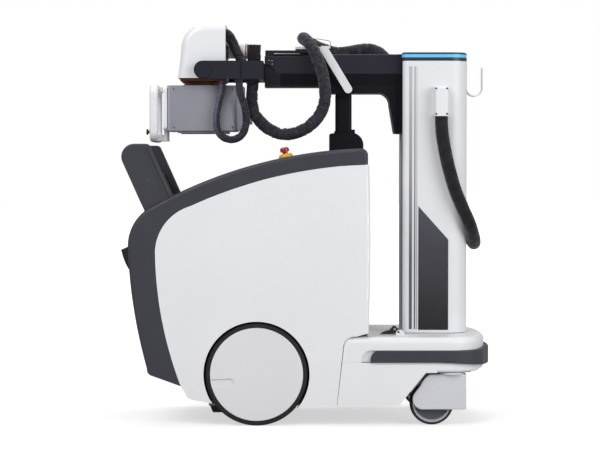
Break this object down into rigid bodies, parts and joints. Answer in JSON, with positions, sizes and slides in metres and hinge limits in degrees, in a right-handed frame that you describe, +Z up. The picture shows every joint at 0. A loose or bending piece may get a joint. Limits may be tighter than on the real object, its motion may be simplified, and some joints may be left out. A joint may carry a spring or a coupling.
{
  "type": "mobile x-ray machine",
  "caption": "Motor-driven mobile x-ray machine: turning column, sliding arm and tilting tube head parked over a console.",
  "frame": {"origin": "centre of the machine's footprint box on the floor, cords left out", "axes": "+X to the column end, which leads when the machine is driven, +Z up, +Y to the machine's left"},
  "size_m": [1.283, 0.567, 1.374],
  "materials": {
    "white_cover": "satin moulded cover",
    "dark_cover": "fine textured dark blue-grey",
    "frame_steel": "welded and painted",
    "motor_casting": "painted casting",
    "battery_case": "painted steel case",
    "generator_case": "light grey housing",
    "black_rubber": "matt",
    "screen_glass": "polished dark screen",
    "stop_yellow": "gloss yellow",
    "stop_red": "gloss red",
    "charcoal_metal": "powder coated charcoal",
    "grip_rubber": "soft grip",
    "bin_plastic": "matt black moulding",
    "latch_plastic": "black moulding",
    "tyre_black": "matt",
    "wheel_white": "cast hub with a painted cap",
    "caster_grey": "light grey moulded cover",
    "caster_rubber": "grey tread",
    "caster_hub": "dark grey",
    "column_white": "powder coated extrusion",
    "stripe_dark": "printed dark panel",
    "bearing_steel": "machined",
    "hook_white": "painted bent strip",
    "mast_alloy": "anodised tube",
    "cap_plastic": "dark lid",
    "led_cyan": "light strip",
    "tube_steel": "painted housing",
    "flange_bronze": "bronze tone",
    "connector_white": "white socket with a copper ring",
    "sleeve_black": "wrinkled black sleeve",
    "collimator_grey": "speckled mid grey"
  },
  "bodies": {
    "chassis": {"chassis_frame": "frame_steel", "base_top_cover": "white_cover", "base_lower_cover": "white_cover", "front_bumper": "dark_cover", "side_cover_left": "white_cover", "side_cover_right": "white_cover", "console_band": "dark_cover", "front_panel": "white_cover", "display_bezel": "dark_cover", "display_glass": "screen_glass", "cheek_left": "dark_cover", "cheek_right": "dark_cover", "grip_bar": "grip_rubber", "detector_bin": "bin_plastic", "accessory_pocket": "bin_plastic", "emergency_stop_collar": "stop_yellow", "arm_dock": "charcoal_metal", "dock_pad": "black_rubber", "battery_pack": "battery_case", "generator_box": "generator_case", "gear_motors": "motor_casting", "skid_plates": "black_rubber"},
    "stop_button": {"emergency_stop_button": "stop_red"},
    "squeeze_bar": {"enable_bar": "charcoal_metal"},
    "latch": {"latch_lever": "latch_plastic"},
    "drive_wheel_left": {"drive_tyre_left": "tyre_black", "drive_wheel_disc_left": "wheel_white"},
    "drive_wheel_right": {"drive_tyre_right": "tyre_black", "drive_wheel_disc_right": "wheel_white"},
    "caster_left": {"caster_fork_left": "caster_grey"},
    "caster_right": {"caster_fork_right": "caster_grey"},
    "caster_wheel_left": {"caster_tyre_left": "caster_rubber", "caster_hub_left": "caster_hub"},
    "caster_wheel_right": {"caster_tyre_right": "caster_rubber", "caster_hub_right": "caster_hub"},
    "column": {"column_profile": "column_white", "stripe_panel": "stripe_dark", "column_foot": "bearing_steel", "junction_boxes": "white_cover", "cable_hook": "hook_white", "column_cable": "sleeve_black"},
    "mast": {"mast": "mast_alloy", "column_cap": "cap_plastic", "led_strip": "led_cyan", "arm_carriage": "charcoal_metal", "arm_outer": "charcoal_metal", "hose_bracket": "hook_white", "arm_hose": "sleeve_black"},
    "arm_slide": {"arm_inner": "charcoal_metal"},
    "yoke": {"head_fork": "charcoal_metal", "head_hose": "sleeve_black"},
    "head": {"tube_shell": "white_cover", "tube_insert": "tube_steel", "tube_flange": "flange_bronze", "hv_connector": "connector_white", "connector_boot": "sleeve_black", "collimator_cord": "sleeve_black"},
    "collimator": {"collimator_housing": "collimator_grey", "handle_panel": "white_cover"},
    "handle_release": {"handle_button": "latch_plastic"}
  },
  "joints": [
    {"name": "column_turn", "type": "hinge", "parent": "chassis", "child": "column", "pos_m": [0.4475, 0, 0.303], "axis": [0, 0, 1], "range_deg": [-175, 175]},
    {"name": "mast_lift", "type": "slide", "parent": "column", "child": "mast", "axis": [0, 0, 1], "range_m": [0, 0.75]},
    {"name": "arm_extend", "type": "slide", "parent": "mast", "child": "arm_slide", "axis": [-1, 0, 0], "range_m": [0, 0.16], "deforming": ["arm_hose"]},
    {"name": "head_roll", "type": "hinge", "parent": "arm_slide", "child": "yoke", "pos_m": [-0.1465, 0, 1.214], "axis": [1, 0, 0], "range_deg": [-90, 90], "deforming": ["arm_hose"]},
    {"name": "head_tilt", "type": "hinge", "parent": "yoke", "child": "head", "pos_m": [-0.356, 0, 1.214], "axis": [0, 1, 0], "range_deg": [0, 90], "deforming": ["head_hose", "arm_hose", "connector_boot", "collimator_cord"]},
    {"name": "collimator_turn", "type": "hinge", "parent": "head", "child": "collimator", "pos_m": [-0.356, 0, 1.1626], "axis": [0, 0, 1], "range_deg": [-90, 90], "deforming": ["collimator_cord", "arm_hose"]},
    {"name": "drive_left", "type": "hinge", "parent": "chassis", "child": "drive_wheel_left", "pos_m": [-0.169, 0.248, 0.175], "axis": [0, 1, 0], "continuous": true},
    {"name": "drive_right", "type": "hinge", "parent": "chassis", "child": "drive_wheel_right", "pos_m": [-0.169, -0.248, 0.175], "axis": [0, 1, 0], "continuous": true},
    {"name": "caster_swivel_left", "type": "hinge", "parent": "chassis", "child": "caster_left", "pos_m": [0.4935, 0.232, 0.188], "axis": [0, 0, 1], "continuous": true},
    {"name": "caster_swivel_right", "type": "hinge", "parent": "chassis", "child": "caster_right", "pos_m": [0.4935, -0.232, 0.188], "axis": [0, 0, 1], "continuous": true},
    {"name": "caster_roll_left", "type": "hinge", "parent": "caster_left", "child": "caster_wheel_left", "pos_m": [0.4275, 0.232, 0.075], "axis": [0, 1, 0], "continuous": true},
    {"name": "caster_roll_right", "type": "hinge", "parent": "caster_right", "child": "caster_wheel_right", "pos_m": [0.4275, -0.232, 0.075], "axis": [0, 1, 0], "continuous": true},
    {"name": "stop_press", "type": "slide", "parent": "chassis", "child": "stop_button", "axis": [0.1962, 0, -0.9806], "range_m": [0, 0.006], "stiffness_N_per_m": 2500, "springref_m": -0.002},
    {"name": "squeeze", "type": "slide", "parent": "chassis", "child": "squeeze_bar", "axis": [-0.4083, 0, 0.9128], "range_m": [0, 0.005], "stiffness_N_per_m": 1500, "springref_m": -0.003},
    {"name": "latch_lift", "type": "hinge", "parent": "chassis", "child": "latch", "pos_m": [0.318, -0.15, 0.31], "axis": [0, 1, 0], "range_deg": [0, 25]},
    {"name": "handle_press", "type": "slide", "parent": "collimator", "child": "handle_release", "axis": [1, 0, 0], "range_m": [0, 0.004], "stiffness_N_per_m": 1500, "springref_m": -0.002}
  ]
}
